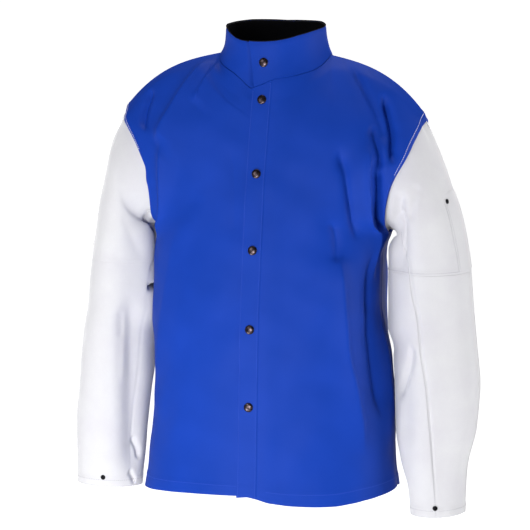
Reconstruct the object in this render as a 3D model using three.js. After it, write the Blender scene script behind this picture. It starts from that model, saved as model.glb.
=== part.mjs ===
// Welding jacket as worn: cotton body, split-leather sleeves, stand collar and snap front.
// Millimetres, +Z up. The wearer faces -Y, and the wearer's left is +X.
// The origin is the middle of the neck opening, level with the tops of the shoulder seams.
import * as THREE from "three";

// Driving dimensions
const clothWall = 1.6;
const leatherWall = 2.0;
const liningWall = 1.0;
const seamGap = 0.4;
const lapGap = 0.5;
const neck = { halfWidth: 97, halfDepth: 84, level: 0, frontDrop: 48, backDrop: 10, share: 0.42 };
const shoulder = { tipX: 271, tipY: -15, fall: 36, droop: 69 };
const underarm = { x: 206, y: -8, z: -300 };
const armholeReach = { front: 76, back: 82 };
const armholeScoop = { left: 12, right: 32, back: 6 };
const hemSag = { left: -13, right: -2, back: -6 };
const placket = { reach: 19, width: 34, rise: 0.8, blend: 40 };
const collarSize = { rimWidth: 86, rimDepth: 77, rimFront: 25, rimSide: 47, rimBack: 52, stand: 1.5 };
const collarEnds = { from: 12, to: -372, lift: 3.4, liftFrom: 318, liftTo: 345, clear: 1.3, columns: 40 };
const sleeveLap = { under: 4, past: 2, over: 1.5, high: 4, depth: clothWall + 1.2 };
const pocket = { fromTurn: -18, toTurn: 36, topZ: -221, hem: 4, wall: 1.6, puff: 2 };
const pocketRivet = { turn: 30, down: 7, sink: 1.1 };
const snapSize = { radius: 7.7, height: 3.0 };
const smallSnapSize = { radius: 4.4, height: 1.8 };
const collarSnapHeight = 0.5;
const cuffSnap = { left: 84, right: 90, rise: 17 };
const snapHeights = [-71, -192, -318, -449, -580];

// Fineness of the walls
const bodyStep = 34;
const frontColumns = { neck: 5, shoulder: 7 };
const backColumns = { neck: 5, shoulder: 6 };
const sleeveSides = 20;
const sleeveStep = 38;

// The side seam from the hem up: half-widths and heights on the wearer's left and right, and y.
const sideSeam = [
  { name: "hem", leftX: 225, rightX: 223, leftZ: -734, rightZ: -756, y: -32 },
  { name: "skirt", leftX: 218, rightX: 214, leftZ: -676, rightZ: -684, y: -31 },
  { name: "hip", leftX: 215, rightX: 206, leftZ: -576, rightZ: -580, y: -29 },
  { name: "waist", leftX: 208, rightX: 209, leftZ: -449, rightZ: -449, y: -26 },
  { name: "chest", leftX: 207, rightX: 207, leftZ: -350, rightZ: -350, y: -18 },
];

// Rows of a panel from the hem to the collar bone: height and y on the middle line, how far the section
// turns to its edge in degrees, how full it is (less is fuller), and where it meets the armhole.
const frontRows = [
  { name: "hem", midZ: -733, midY: -187, turn: 90, full: 0.95 },
  { name: "skirt", midZ: -676, midY: -183, turn: 90, full: 0.93 },
  { name: "hip", midZ: -577, midY: -178, turn: 90, full: 0.9 },
  { name: "waist", midZ: -449, midY: -170, turn: 90, full: 0.88 },
  { name: "chest", midZ: -348, midY: -156, turn: 90, full: 0.84 },
  { name: "underarm", midZ: -298, midY: -148, turn: 88, full: 0.78, armhole: 180 },
  { name: "breast", midZ: -249, midY: -139, turn: 74, full: 0.9, armhole: 140 },
  { name: "armhole", midZ: -200, midY: -128, turn: 60, full: 1, armhole: 100 },
  { name: "upper chest", midZ: -150, midY: -115, turn: 50, full: 1, armhole: 62 },
  { name: "collar bone", midZ: -102, midY: -100, turn: 42, full: 1, armhole: 30 },
];
const backRows = [
  { name: "hem", midZ: -746, midY: 122, turn: 90, full: 0.95 },
  { name: "skirt", midZ: -680, midY: 118, turn: 90, full: 0.93 },
  { name: "hip", midZ: -578, midY: 114, turn: 90, full: 0.9 },
  { name: "waist", midZ: -449, midY: 112, turn: 90, full: 0.88 },
  { name: "chest", midZ: -350, midY: 118, turn: 90, full: 0.84 },
  { name: "underarm", midZ: -298, midY: 122, turn: 88, full: 0.78, armhole: 180 },
  { name: "blade", midZ: -244, midY: 124, turn: 76, full: 0.9, armhole: 140 },
  { name: "armhole", midZ: -190, midY: 123, turn: 64, full: 1, armhole: 100 },
  { name: "yoke", midZ: -134, midY: 119, turn: 54, full: 1, armhole: 62 },
  { name: "upper back", midZ: -80, midY: 110, turn: 44, full: 1, armhole: 30 },
];
const underarmRow = 5;
const shoulderRow = { frontShare: 0.4, backShare: 0.45, crown: 20, crownFrom: 0.12 };

// Rows of a sleeve below the armhole: outermost and innermost points, middle y and depth front to back.
// x is measured away from the body.
const sleeveRows = {
  left: [
    { name: "cap", outX: 287, outZ: -150, inX: 217, inZ: -301, y: -12, depth: 146 },
    { name: "upper arm", outX: 308, outZ: -208, inX: 217, inZ: -308, y: -12, depth: 144 },
    { name: "biceps", outX: 329, outZ: -278, inX: 215, inZ: -325, y: -11, depth: 142 },
    { name: "elbow", outX: 344, outZ: -360, inX: 215, inZ: -362, y: -10, depth: 139 },
    { name: "below elbow", outX: 353, outZ: -460, inX: 215, inZ: -460, y: -13, depth: 135 },
    { name: "forearm", outX: 364, outZ: -548, inX: 221, inZ: -548, y: -20, depth: 128 },
    { name: "lower forearm", outX: 360, outZ: -628, inX: 226, inZ: -628, y: -28, depth: 117 },
    { name: "wrist", outX: 349, outZ: -684, inX: 238, inZ: -684, y: -35, depth: 105 },
    { name: "above cuff", outX: 346, outZ: -730, inX: 246, inZ: -732, y: -40, depth: 96 },
    { name: "cuff", outX: 345, outZ: -771, inX: 251, inZ: -777, y: -43, depth: 90 },
  ],
  right: [
    { name: "cap", outX: 288, outZ: -150, inX: 217, inZ: -301, y: -12, depth: 146 },
    { name: "upper arm", outX: 300, outZ: -208, inX: 217, inZ: -308, y: -12, depth: 146 },
    { name: "biceps", outX: 314, outZ: -278, inX: 215, inZ: -325, y: -11, depth: 146 },
    { name: "elbow", outX: 326, outZ: -360, inX: 215, inZ: -362, y: -10, depth: 144 },
    { name: "below elbow", outX: 338, outZ: -455, inX: 215, inZ: -455, y: -13, depth: 138 },
    { name: "forearm", outX: 348, outZ: -540, inX: 217, inZ: -540, y: -18, depth: 128 },
    { name: "lower forearm", outX: 353, outZ: -618, inX: 224, inZ: -618, y: -24, depth: 114 },
    { name: "wrist", outX: 354, outZ: -676, inX: 228, inZ: -676, y: -30, depth: 96 },
    { name: "above cuff", outX: 353, outZ: -720, inX: 231, inZ: -720, y: -34, depth: 86 },
    { name: "cuff", outX: 352, outZ: -760, inX: 234, inZ: -760, y: -36, depth: 80 },
  ],
};

// Folds of the body: heights of the ends, distance from the middle line at the top, halfway and at the
// bottom, width, and rise (below zero a hollow).
const bodyFolds = {
  right: [
    { name: "neck drag", fromZ: -4, toZ: -160, fromX: 126, midX: 165, toX: 195, width: 15, rise: 5 },
    { name: "collar drag", fromZ: -8, toZ: -100, fromX: 90, midX: 110, toX: 130, width: 12, rise: 3 },
    { name: "side ridge", fromZ: -290, toZ: -580, fromX: 150, midX: 172, toX: 190, width: 17, rise: 5 },
    { name: "waist hollow", fromZ: -480, toZ: -660, fromX: 200, midX: 202, toX: 205, width: 20, rise: -4 },
  ],
  left: [
    { name: "neck drag", fromZ: -26, toZ: -150, fromX: 152, midX: 191, toX: 216, width: 14, rise: -5 },
    { name: "arm ridge", fromZ: -150, toZ: -390, fromX: 184, midX: 198, toX: 203, width: 13, rise: 5 },
    { name: "breast crease", fromZ: -175, toZ: -330, fromX: 144, midX: 160, toX: 175, width: 13, rise: -3 },
    { name: "long ridge", fromZ: -250, toZ: -670, fromX: 126, midX: 151, toX: 188, width: 20, rise: 8 },
    { name: "side hollow", fromZ: -460, toZ: -670, fromX: 194, midX: 200, toX: 210, width: 16, rise: -6 },
  ],
  back: [
    { name: "blade ridge", fromZ: -230, toZ: -750, fromX: 128, midX: 142, toX: 150, width: 26, rise: 6 },
    { name: "back hollow", fromZ: -300, toZ: -750, fromX: 74, midX: 80, toX: 84, width: 28, rise: -4 },
  ],
};

// Folds of the sleeves: the same, with the turn round the arm in degrees (90 is the front, 180 inside).
const sleeveFolds = {
  right: [
    { name: "armpit", fromZ: -285, toZ: -420, fromX: 150, midX: 140, toX: 130, width: 20, rise: -6 },
    { name: "forearm hollow", fromZ: -400, toZ: -750, fromX: 118, midX: 128, toX: 146, width: 24, rise: -8 },
    { name: "back of elbow", fromZ: -300, toZ: -480, fromX: 270, midX: 275, toX: 270, width: 26, rise: -5 },
  ],
  left: [
    { name: "armpit", fromZ: -190, toZ: -380, fromX: 116, midX: 130, toX: 142, width: 20, rise: -5 },
    { name: "forearm hollow", fromZ: -440, toZ: -660, fromX: 140, midX: 138, toX: 132, width: 22, rise: -8 },
    { name: "back of elbow", fromZ: -300, toZ: -480, fromX: 270, midX: 275, toX: 270, width: 26, rise: -5 },
  ],
};

const radians = THREE.MathUtils.degToRad;
const smoothstep = THREE.MathUtils.smoothstep;
const mix = THREE.MathUtils.lerp;
const point = (x, y, z) => new THREE.Vector3(x, y, z);
const sideName = (side) => (side > 0 ? "left" : "right");

function evenSteps(from, to, count) {
  return Array.from({ length: count + 1 }, (unused, k) => mix(from, to, k / count));
}

// Values spread evenly over each stretch between knots, about one step apart.
function spread(knots, step) {
  const values = [knots[0]];
  for (let j = 1; j < knots.length; j += 1) {
    const count = Math.max(1, Math.round((knots[j] - knots[j - 1]) / step));
    values.push(...evenSteps(knots[j - 1], knots[j], count).slice(1));
  }
  return values;
}

// A smooth curve through numbered points that stand at the given knots. At the point numbered corner.at
// the curve bends sharply by the share corner.sharp.
function curveThrough(knots, pointAt, t, corner = { at: -1, sharp: 0 }) {
  const last = knots.length - 1;
  let i = 0;
  while (i < last - 1 && t > knots[i + 1]) {
    i += 1;
  }
  const chordSlope = (before, after) =>
    pointAt(after).sub(pointAt(before)).divideScalar(knots[after] - knots[before]);
  const slopeAt = (j) => {
    const smooth = chordSlope(Math.max(j - 1, 0), Math.min(j + 1, last));
    return j === corner.at ? smooth.lerp(chordSlope(i, i + 1), corner.sharp) : smooth;
  };
  const span = knots[i + 1] - knots[i];
  const f = (t - knots[i]) / span;
  const f2 = f * f;
  const f3 = f2 * f;
  return pointAt(i).multiplyScalar(2 * f3 - 3 * f2 + 1)
    .addScaledVector(pointAt(i + 1), 3 * f2 - 2 * f3)
    .addScaledVector(slopeAt(i), span * (f3 - 2 * f2 + f))
    .addScaledVector(slopeAt(i + 1), span * (f3 - f2));
}

// How far a surface stands out at a place, summed over its folds.
function foldRise(folds, across, z) {
  let sum = 0;
  for (const fold of folds) {
    const f = (fold.fromZ - z) / (fold.fromZ - fold.toZ);
    if (f > 0 && f < 1) {
      const line = (1 - f) * (1 - 2 * f) * fold.fromX
        + 4 * f * (1 - f) * fold.midX
        + f * (2 * f - 1) * fold.toX;
      const off = (across - line) / fold.width;
      const ends = smoothstep(f, 0, 0.25) * (1 - smoothstep(f, 0.75, 1));
      sum += fold.rise * Math.exp(-off * off) * ends;
    }
  }
  return sum;
}

// A closed wall between an outer and an inner grid of points, each face cut along its shorter diagonal.
// A ring closes round its columns.
function wallGeometry(outer, inner, ring) {
  const rows = outer.length;
  const cols = outer[0].length;
  const points = [...outer.flat(), ...inner.flat()];
  const faces = [];
  const outerAt = (r, c) => r * cols + (c % cols);
  const innerAt = (r, c) => rows * cols + outerAt(r, c);
  const quad = (a, b, c, d) => {
    if (points[a].distanceTo(points[c]) <= points[b].distanceTo(points[d])) {
      faces.push(a, b, c, a, c, d);
    } else {
      faces.push(a, b, d, b, c, d);
    }
  };
  const spans = ring ? cols : cols - 1;
  for (let r = 0; r < rows - 1; r += 1) {
    for (let c = 0; c < spans; c += 1) {
      quad(outerAt(r, c), outerAt(r, c + 1), outerAt(r + 1, c + 1), outerAt(r + 1, c));
      quad(innerAt(r, c), innerAt(r + 1, c), innerAt(r + 1, c + 1), innerAt(r, c + 1));
    }
    if (!ring) {
      quad(outerAt(r, 0), outerAt(r + 1, 0), innerAt(r + 1, 0), innerAt(r, 0));
      quad(outerAt(r, spans), innerAt(r, spans), innerAt(r + 1, spans), outerAt(r + 1, spans));
    }
  }
  for (let c = 0; c < spans; c += 1) {
    quad(outerAt(0, c), innerAt(0, c), innerAt(0, c + 1), outerAt(0, c + 1));
    quad(outerAt(rows - 1, c), outerAt(rows - 1, c + 1), innerAt(rows - 1, c + 1), innerAt(rows - 1, c));
  }
  if (enclosedVolume(points, faces) < 0) {
    faces.reverse();
  }
  const geometry = new THREE.BufferGeometry().setFromPoints(points);
  geometry.setIndex(faces);
  geometry.computeVertexNormals();
  return geometry;
}

function enclosedVolume(points, faces) {
  let sum = 0;
  for (let i = 0; i < faces.length; i += 3) {
    const [a, b, c] = [points[faces[i]], points[faces[i + 1]], points[faces[i + 2]]];
    sum += a.dot(b.clone().cross(c));
  }
  return sum / 6;
}

// Height of the shoulder seam: u runs from the collar to the tip.
const shoulderHeight = (u) => neck.level - shoulder.fall * u - shoulder.droop * u ** 3;

// The armhole loop: 0 degrees at the shoulder tip, 180 at the underarm.
function armholePoint(side, isFront, degrees) {
  const a = radians(degrees);
  const tip = point(shoulder.tipX, shoulder.tipY, shoulderHeight(1));
  const p = tip.lerp(point(underarm.x, underarm.y, underarm.z), (1 - Math.cos(a)) / 2);
  const scoop = isFront ? armholeScoop[sideName(side)] : armholeScoop.back;
  p.x = side * (p.x - scoop * Math.sin(a) ** 2);
  p.y += (isFront ? -armholeReach.front : armholeReach.back) * Math.sin(a);
  return p;
}

// The neckline: 0 degrees at the centre front, 90 at the shoulder, 180 at the centre back.
function necklinePoint(degrees) {
  const a = radians(degrees);
  const c = Math.cos(a);
  const drop = c > 0 ? neck.frontDrop * c ** 1.2 : neck.backDrop * c * c;
  return point(neck.halfWidth * Math.sin(a), -neck.halfDepth * c, neck.level - drop);
}

// Top edge of a panel: the neckline, then the shoulder seam out to the tip.
function topPoint(side, isFront, s) {
  if (s < neck.share) {
    const turn = 90 * s / neck.share;
    const p = necklinePoint(isFront ? turn : 180 - turn);
    p.x *= side;
    return p;
  }
  const u = (s - neck.share) / (1 - neck.share);
  return point(side * mix(neck.halfWidth, shoulder.tipX, u), shoulder.tipY * u, shoulderHeight(u));
}

function seamPoint(row, side) {
  return side > 0 ? point(row.leftX, row.y, row.leftZ) : point(-row.rightX, row.y, row.rightZ);
}

// A panel's smooth surface: s runs from the middle line to the side, t up from the hem in row knots.
function panelMaker(rows, isFront) {
  const share = isFront ? shoulderRow.frontShare : shoulderRow.backShare;
  const rowPoint = (j, side, s) => {
    const row = rows[j];
    const edge = j < underarmRow ? seamPoint(sideSeam[j], side) : armholePoint(side, isFront, row.armhole);
    const turn = radians(row.turn);
    const a = s * turn;
    const across = Math.sin(a) / Math.sin(turn);
    const forward = Math.max(0, (Math.cos(a) - Math.cos(turn)) / (1 - Math.cos(turn))) ** row.full;
    const p = point(edge.x * across, mix(edge.y, row.midY, forward), mix(row.midZ, edge.z, s * s));
    if (j === 0) {
      p.z += (isFront ? hemSag[sideName(side)] : hemSag.back) * Math.sin(Math.PI * Math.abs(s));
    }
    return p;
  };
  const pointInRow = (j, side, s) => {
    if (j < rows.length) {
      return rowPoint(j, side, s);
    }
    const top = topPoint(side, isFront, s);
    if (j > rows.length) {
      return top;
    }
    const p = top.lerp(rowPoint(rows.length - 1, side, s), share);
    const along = Math.max(0, (Math.abs(s) - shoulderRow.crownFrom) / (1 - shoulderRow.crownFrom));
    p.z += shoulderRow.crown * Math.sin(Math.PI * along);
    return p;
  };
  const knots = [0];
  for (let j = 1; j < rows.length + 2; j += 1) {
    const s = j > underarmRow ? 0.6 : 1;
    knots.push(knots[j - 1] + pointInRow(j, 1, s).distanceTo(pointInRow(j - 1, 1, s)));
  }
  const top = knots[knots.length - 1];
  const base = (side, s, t) => {
    const corner = { at: underarmRow, sharp: smoothstep(s, 0.8, 1) };
    return curveThrough(knots, (j) => pointInRow(j, side, s), t, corner);
  };
  const normal = (side, s, t) => {
    const along = base(side, Math.min(s + 0.004, 1), t).sub(base(side, s - 0.004, t));
    const up = base(side, s, Math.min(t + 2, top)).sub(base(side, s, Math.max(t - 2, 0)));
    return along.cross(up).multiplyScalar(isFront ? side : -side).normalize();
  };
  const edgeAngles = [...rows.slice(underarmRow).map((row) => row.armhole), 30 * share, 0];
  // The level on the panel's edge that stands at an angle of the armhole.
  const levelAt = (angle) => {
    let i = 0;
    while (angle < edgeAngles[i + 1]) {
      i += 1;
    }
    const f = (edgeAngles[i] - angle) / (edgeAngles[i] - edgeAngles[i + 1]);
    return mix(knots[underarmRow + i], knots[underarmRow + i + 1], f);
  };
  return { isFront, knots, top, base, normal, levelAt, underarm: knots[underarmRow] };
}

const front = panelMaker(frontRows, true);
const back = panelMaker(backRows, false);

// Levels of a panel's rows of points: even below the underarm, and above it one for each sleeve column.
function panelLevels(panel) {
  const levels = spread(panel.knots.slice(0, underarmRow + 1), bodyStep);
  for (let k = sleeveSides / 2 - 1; k >= 0; k -= 1) {
    levels.push(panel.levelAt(360 * k / sleeveSides));
  }
  return levels;
}

// Outer and inner points of a panel's wall. Folds die out at its seams, and the two panels that meet on
// the shoulder share one mitre there.
function panelPair(panel, side, s, t, rise) {
  const other = panel.isFront ? back : front;
  const mitre = smoothstep(t, panel.top - 30, panel.top) * smoothstep(s, neck.share - 0.06, neck.share);
  const n = panel.normal(side, s, t).lerp(other.normal(side, s, other.top), mitre / 2).normalize();
  const outside = panel.base(side, s, t);
  const folds = panel.isFront ? bodyFolds[sideName(side)] : bodyFolds.back;
  const inField = (1 - smoothstep(s, 0.88, 1)) * (1 - smoothstep(t, panel.top - 28, panel.top));
  const lift = rise + inField * foldRise(folds, side * outside.x, outside.z);
  outside.addScaledVector(n, lift);
  outside.y += panel.isFront ? -seamGap / 2 : seamGap / 2;
  return [outside, outside.clone().addScaledVector(n, -clothWall)];
}

function panelGeometry(panel, columnsAt, pairAt) {
  const outer = [];
  const inner = [];
  for (const t of panelLevels(panel)) {
    const pairs = columnsAt(t).map((s) => pairAt(s, t));
    outer.push(pairs.map((pair) => pair[0]));
    inner.push(pairs.map((pair) => pair[1]));
  }
  return wallGeometry(outer, inner, false);
}

// Near the middle line s grows evenly with x, so a distance there turns into s by this.
const shareOfX = (t, x) => 0.01 * x / front.base(1, 0.01, t).x;

function frontColumnsFrom(start) {
  const toNeck = evenSteps(start, neck.share, frontColumns.neck);
  return [...toNeck, ...evenSteps(neck.share, 1, frontColumns.shoulder).slice(1)];
}

// The left front laps outside the right one, and its doubled placket stands a little proud.
function leftPair(s, t) {
  const x = s / shareOfX(t, 1);
  const lap = 1 - smoothstep(x, placket.reach + 3, placket.reach + placket.blend);
  const doubled = x < placket.width - placket.reach + 0.1 ? placket.rise : 0;
  return panelPair(front, 1, s, t, lap * (clothWall + lapGap) + doubled);
}

function frontLeftGeometry() {
  const edge = placket.width - placket.reach;
  const columnsAt = (t) => {
    const [hem, middle, fold, step] = [-placket.reach, -2, edge, edge + 1.2].map((x) => shareOfX(t, x));
    return [hem, middle, fold, ...frontColumnsFrom(step)];
  };
  return panelGeometry(front, columnsAt, leftPair);
}

function frontRightGeometry() {
  const columnsAt = (t) => frontColumnsFrom(shareOfX(t, 2 - placket.reach));
  return panelGeometry(front, columnsAt, (s, t) => panelPair(front, -1, s, t, 0));
}

function backGeometry() {
  const half = [
    ...evenSteps(0, neck.share, backColumns.neck),
    ...evenSteps(neck.share, 1, backColumns.shoulder).slice(1),
  ];
  const shares = [...half.slice(1).reverse().map((s) => -s), ...half];
  return panelGeometry(back, () => shares, (s, t) => panelPair(back, s < 0 ? -1 : 1, Math.abs(s), t, 0));
}

// The seam round an armhole: a place on the body's edge, the body's outward normal there and the
// direction that leads across the seam away from the body. 0 degrees is the tip, 90 the front.
function armholeSeam(side, degrees) {
  const isFront = degrees <= 180;
  const panel = isFront ? front : back;
  const t = panel.levelAt(isFront ? degrees : 360 - degrees);
  const normal = panel.normal(side, 1, t);
  const upper = panel.base(side, 1, Math.min(t + 2, panel.top));
  const tangent = upper.sub(panel.base(side, 1, Math.max(t - 2, panel.underarm)));
  const across = tangent.cross(normal).multiplyScalar(isFront ? side : -side).normalize();
  return { place: panel.base(side, 1, t), normal, across };
}

function sleeveRowPoint(row, side, degrees) {
  const a = radians(degrees);
  const share = (1 - Math.cos(a)) / 2;
  const y = row.y - row.depth / 2 * Math.sin(a);
  return point(side * mix(row.outX, row.inX, share), y, mix(row.outZ, row.inZ, share));
}

// A sleeve's smooth surface: degrees round the arm, t down from the armhole in row knots. Its first two
// rows follow the armhole, one tucked under the body's edge and one just past it.
function sleeveMaker(side) {
  const rows = sleeveRows[sideName(side)];
  const folds = sleeveFolds[sideName(side)];
  const pointInRow = (j, degrees) => {
    if (j > 1) {
      return sleeveRowPoint(rows[j - 2], side, degrees);
    }
    const seam = armholeSeam(side, degrees);
    const away = smoothstep(Math.abs(degrees - 180), 15, 70);
    const [low, high] = j === 0 ? [sleeveLap.over, -sleeveLap.under] : [sleeveLap.high, sleeveLap.past];
    return seam.place.addScaledVector(seam.across, mix(low, high, away))
      .addScaledVector(seam.normal, -sleeveLap.depth);
  };
  const knots = [0];
  for (let j = 1; j <= rows.length + 1; j += 1) {
    const steps = [0, 90, 180, 270].map((a) => pointInRow(j, a).distanceTo(pointInRow(j - 1, a)));
    knots.push(knots[j - 1] + (steps[0] + steps[1] + steps[2] + steps[3]) / 4);
  }
  const cuff = knots[knots.length - 1];
  const elbow = knots[rows.findIndex((row) => row.name === "elbow") + 2];
  const base = (degrees, t) => {
    const turn = THREE.MathUtils.euclideanModulo(degrees, 360);
    return curveThrough(knots, (j) => pointInRow(j, turn), t);
  };
  const normal = (degrees, t) => {
    const round = base(degrees + 2, t).sub(base(degrees - 2, t));
    const down = base(degrees, Math.min(t + 2, cuff)).sub(base(degrees, Math.max(t - 2, 0)));
    return round.cross(down).multiplyScalar(side).normalize();
  };
  const surface = (degrees, t, rise) => {
    const p = base(degrees, t);
    const inField = smoothstep(t, knots[1], knots[3]);
    return p.addScaledVector(normal(degrees, t), rise + inField * foldRise(folds, degrees, p.z));
  };
  return { knots, cuff, elbow, base, normal, surface };
}

function sleeveLevels(sleeve, from, to) {
  const inside = sleeve.knots.filter((t) => t > from + 1 && t < to - 1);
  return spread([from, ...inside, to], sleeveStep);
}

function sleeveGeometry(sleeve, from, to) {
  const turns = evenSteps(0, 360, sleeveSides).slice(0, -1);
  const levels = sleeveLevels(sleeve, from, to);
  const at = (rise) => levels.map((t) => turns.map((a) => sleeve.surface(a, t, rise)));
  return wallGeometry(at(0), at(-leatherWall), true);
}

// The value in a span at which a height reaches a level; the height rises from the first end to the last.
function whereHeight(heightAt, from, to, level) {
  let low = from;
  let high = to;
  while (Math.abs(high - low) > 0.01) {
    const middle = (low + high) / 2;
    if (heightAt(middle) < level) {
      low = middle;
    } else {
      high = middle;
    }
  }
  return low;
}

// A patch pocket that lies on a sleeve, open at its top.
function pocketMaker(sleeve) {
  const bottom = sleeve.elbow - pocket.hem;
  const top = whereHeight((t) => sleeve.base(0, t).z, bottom, 0, pocket.topZ);
  const pointAt = (turn, t, rise) => {
    const round = Math.sin(Math.PI * (turn - pocket.fromTurn) / (pocket.toTurn - pocket.fromTurn));
    const puff = pocket.puff * round * (bottom - t) / (bottom - top);
    return sleeve.surface(turn, t, lapGap + rise + puff);
  };
  return { top, bottom, pointAt };
}

function pocketGeometry(sleeve) {
  const patch = pocketMaker(sleeve);
  const columns = Math.round((pocket.toTurn - pocket.fromTurn) * sleeveSides / 360);
  const turns = evenSteps(pocket.fromTurn, pocket.toTurn, columns);
  const onPocket = (t) => t > patch.top + 3 && t < patch.bottom - 3;
  const inside = sleeveLevels(sleeve, 0, sleeve.elbow).filter(onPocket);
  const levels = [patch.top, ...inside, patch.bottom];
  const at = (rise) => levels.map((t) => turns.map((a) => patch.pointAt(a, t, rise)));
  return wallGeometry(at(pocket.wall), at(0), false);
}

// The collar: turn in degrees from the centre front towards the wearer's left, height 0 at the seam and
// 1 at the rim. The band runs from its right end round the back to its left end, which laps outside.
function collarPoint(turn, height) {
  const a = radians(turn);
  const c = Math.cos(a);
  const seam = necklinePoint(Math.abs(THREE.MathUtils.euclideanModulo(turn + 180, 360) - 180));
  seam.x = neck.halfWidth * Math.sin(a);
  const end = c > 0 ? collarSize.rimFront : collarSize.rimBack;
  const rimZ = mix(collarSize.rimSide, end, Math.abs(c) ** 1.4);
  const rim = point(collarSize.rimWidth * Math.sin(a), -collarSize.rimDepth * c, rimZ);
  const lift = collarEnds.lift * smoothstep(-turn, collarEnds.liftFrom, collarEnds.liftTo);
  seam.z += collarEnds.clear + 0.35 * lift;
  const inward = 1 - (1 - height) ** collarSize.stand;
  const p = point(mix(seam.x, rim.x, inward), mix(seam.y, rim.y, inward), mix(seam.z, rim.z, height));
  return p.addScaledVector(point(Math.sin(a), -c, 0), lift);
}

function collarNormal(turn, height) {
  const along = collarPoint(turn + 1, height).sub(collarPoint(turn - 1, height));
  const up = collarPoint(turn, Math.min(height + 0.01, 1)).sub(collarPoint(turn, height - 0.01));
  return along.cross(up).normalize();
}

function collarGeometry(depth, wall, trimHeight, trimTurn) {
  const turns = evenSteps(collarEnds.from - trimTurn, collarEnds.to + trimTurn, collarEnds.columns);
  const heights = evenSteps(trimHeight, 1 - trimHeight, 3);
  const at = (inset) => heights.map((h) => turns.map((a) =>
    collarPoint(a, h).addScaledVector(collarNormal(a, h), -inset)));
  return wallGeometry(at(depth), at(depth + wall), false);
}

// A domed cap with a rolled edge, its foot on the XZ plane: shares of its radius and height.
function snapGeometry(size) {
  const profile = [[0, 0], [0.9, 0], [1, 0.3], [0.93, 0.62], [0.62, 0.9], [0, 1]];
  const outline = profile.map(([r, h]) => new THREE.Vector2(r * size.radius, h * size.height));
  return new THREE.LatheGeometry(outline, 14);
}

const cotton = new THREE.MeshStandardMaterial({ color: 0x1c47b6, roughness: 0.9, metalness: 0 });
const leather = new THREE.MeshStandardMaterial({ color: 0xe9e8ea, roughness: 0.85, metalness: 0 });
const liningCloth = new THREE.MeshStandardMaterial({ color: 0x0d0d10, roughness: 0.9, metalness: 0 });
const gunmetal = new THREE.MeshStandardMaterial({ color: 0x2b2624, roughness: 0.35, metalness: 1 });
const blackMetal = new THREE.MeshStandardMaterial({ color: 0x0e0e10, roughness: 0.4, metalness: 1 });

const jacket = new THREE.Group();

function addPiece(name, geometry, material) {
  const mesh = new THREE.Mesh(geometry, material);
  mesh.name = name;
  jacket.add(mesh);
  return mesh;
}

// A cap set on a surface, facing along its normal.
function addSnap(name, size, place, normal, material) {
  const mesh = addPiece(name, snapGeometry(size), material);
  mesh.position.copy(place).addScaledVector(normal, seamGap);
  mesh.quaternion.setFromUnitVectors(point(0, 1, 0), normal);
}

addPiece("back", backGeometry(), cotton);
addPiece("front_right", frontRightGeometry(), cotton);
addPiece("front_left", frontLeftGeometry(), cotton);
addPiece("collar", collarGeometry(0, clothWall, 0, 0), cotton);
addPiece("collar_lining", collarGeometry(clothWall + seamGap, liningWall, 0.03, 1.5), liningCloth);

for (const side of [-1, 1]) {
  const name = sideName(side);
  const sleeve = sleeveMaker(side);
  addPiece(`sleeve_${name}_upper`, sleeveGeometry(sleeve, 0, sleeve.elbow - seamGap / 2), leather);
  addPiece(`sleeve_${name}_lower`, sleeveGeometry(sleeve, sleeve.elbow + seamGap / 2, sleeve.cuff), leather);
  const t = sleeve.cuff - cuffSnap.rise;
  const cuffPlace = sleeve.surface(cuffSnap[name], t, 0);
  addSnap(`cuff_snap_${name}`, smallSnapSize, cuffPlace, sleeve.normal(cuffSnap[name], t), blackMetal);
  if (side > 0) {
    addPiece("pen_pocket", pocketGeometry(sleeve), leather);
    const patch = pocketMaker(sleeve);
    const rivetT = patch.top + pocketRivet.down;
    const rivetPlace = patch.pointAt(pocketRivet.turn, rivetT, pocket.wall - pocketRivet.sink);
    addSnap("pocket_rivet", smallSnapSize, rivetPlace, sleeve.normal(pocketRivet.turn, rivetT), blackMetal);
  }
}

const collarMiddle = collarEnds.to + collarEnds.from;
const collarPlace = collarPoint(collarMiddle, collarSnapHeight);
addSnap("snap_collar", snapSize, collarPlace, collarNormal(collarMiddle, collarSnapHeight), gunmetal);
snapHeights.forEach((z, k) => {
  const t = whereHeight((level) => front.base(1, 0, level).z, 0, front.top, z);
  addSnap(`snap_${k + 1}`, snapSize, leftPair(0, t)[0], front.normal(1, 0.001, t), gunmetal);
});

export default jacket;
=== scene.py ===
import math
import bpy
import numpy as np
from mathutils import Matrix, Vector


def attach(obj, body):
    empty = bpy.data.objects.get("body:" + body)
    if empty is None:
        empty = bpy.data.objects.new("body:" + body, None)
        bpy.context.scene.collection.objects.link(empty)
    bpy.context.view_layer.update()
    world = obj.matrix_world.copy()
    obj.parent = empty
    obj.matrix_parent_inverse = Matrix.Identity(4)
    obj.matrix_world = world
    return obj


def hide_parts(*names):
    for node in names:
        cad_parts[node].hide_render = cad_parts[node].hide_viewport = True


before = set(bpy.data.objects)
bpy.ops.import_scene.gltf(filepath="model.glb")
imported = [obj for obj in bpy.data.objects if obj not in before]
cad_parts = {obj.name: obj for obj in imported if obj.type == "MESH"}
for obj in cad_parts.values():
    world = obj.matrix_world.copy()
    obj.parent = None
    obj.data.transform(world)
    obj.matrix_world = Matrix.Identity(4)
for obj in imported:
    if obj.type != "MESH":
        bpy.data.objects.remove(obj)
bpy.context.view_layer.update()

print("frame loaded,", len(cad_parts), "solids")


# small helpers

def hexColour(code):
    parts = [int(code[i:i + 2], 16) / 255 for i in (1, 3, 5)]
    linear = [c / 12.92 if c <= 0.04045 else ((c + 0.055) / 1.055)**2.4 for c in parts]
    return (*linear, 1.0)


# selects these pieces alone
def pick(*pieces):
    bpy.ops.object.select_all(action="DESELECT")
    for piece in pieces:
        piece.select_set(True)
        bpy.context.view_layer.objects.active = pieces[0]


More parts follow.
